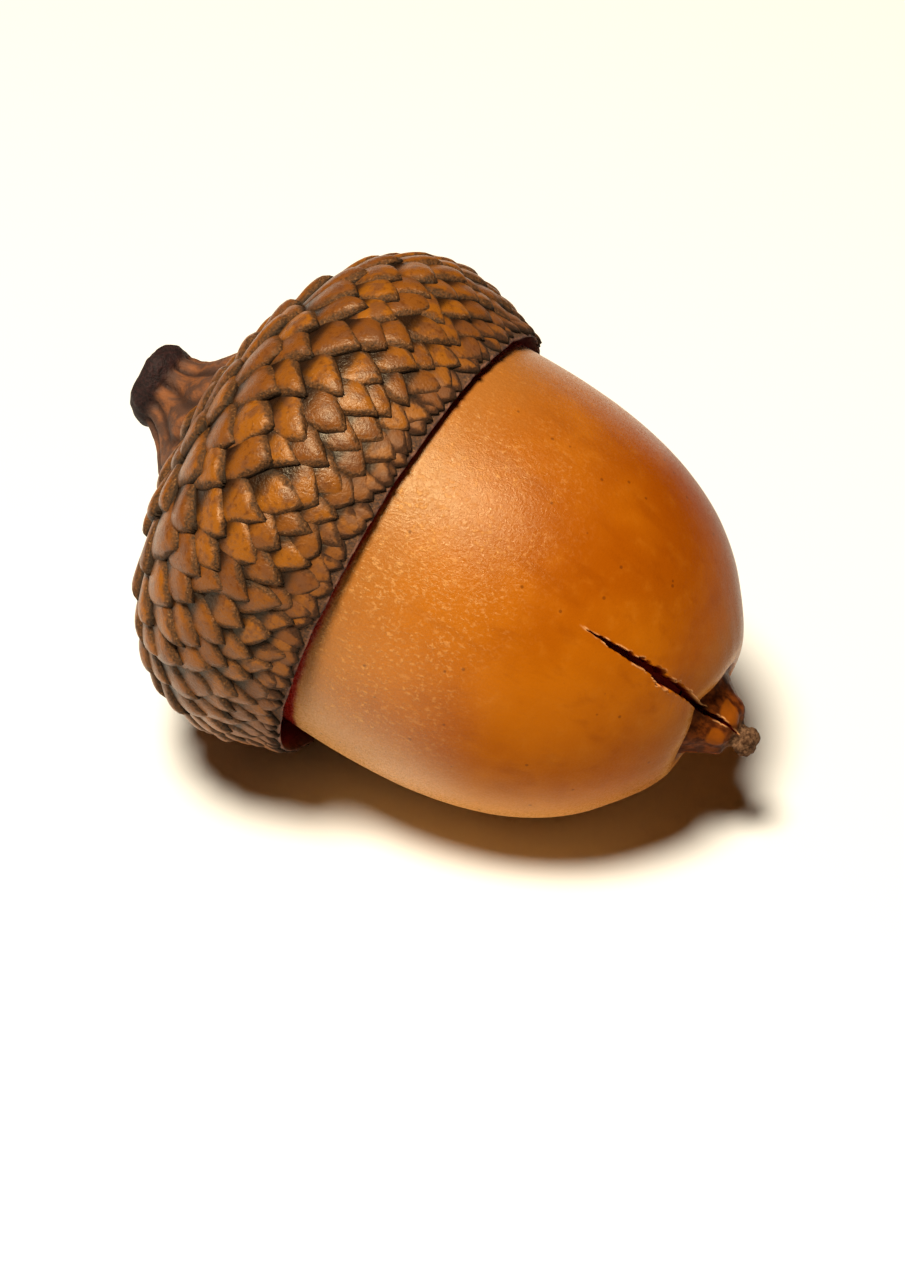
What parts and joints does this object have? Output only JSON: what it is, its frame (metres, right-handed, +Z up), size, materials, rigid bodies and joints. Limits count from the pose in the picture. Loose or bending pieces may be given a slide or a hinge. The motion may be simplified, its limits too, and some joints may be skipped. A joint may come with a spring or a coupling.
{
  "type": "acorn",
  "caption": "Ripe acorn lying on its side: an orange-brown nut with a pointed beak, loose in a rounded scaly cup with a short stub of stalk.",
  "frame": {"origin": "middle of the acorn's bounding box, on the surface it rests on", "axes": "+Z up; +X along the acorn's length, from the stalk towards the nut's tip; +Y to the left of that"},
  "size_m": [0.03, 0.0228, 0.0223],
  "materials": {
    "nut_shell": "satin, orange-brown, with a fine silvery bloom",
    "cup_scales": "waxy brown scales with grey felted edges",
    "stalk_wood": "rough, grey-brown"
  },
  "bodies": {
    "root": {"nut": "nut_shell", "cup": "cup_scales", "stalk": "stalk_wood"}
  },
  "joints": []
}
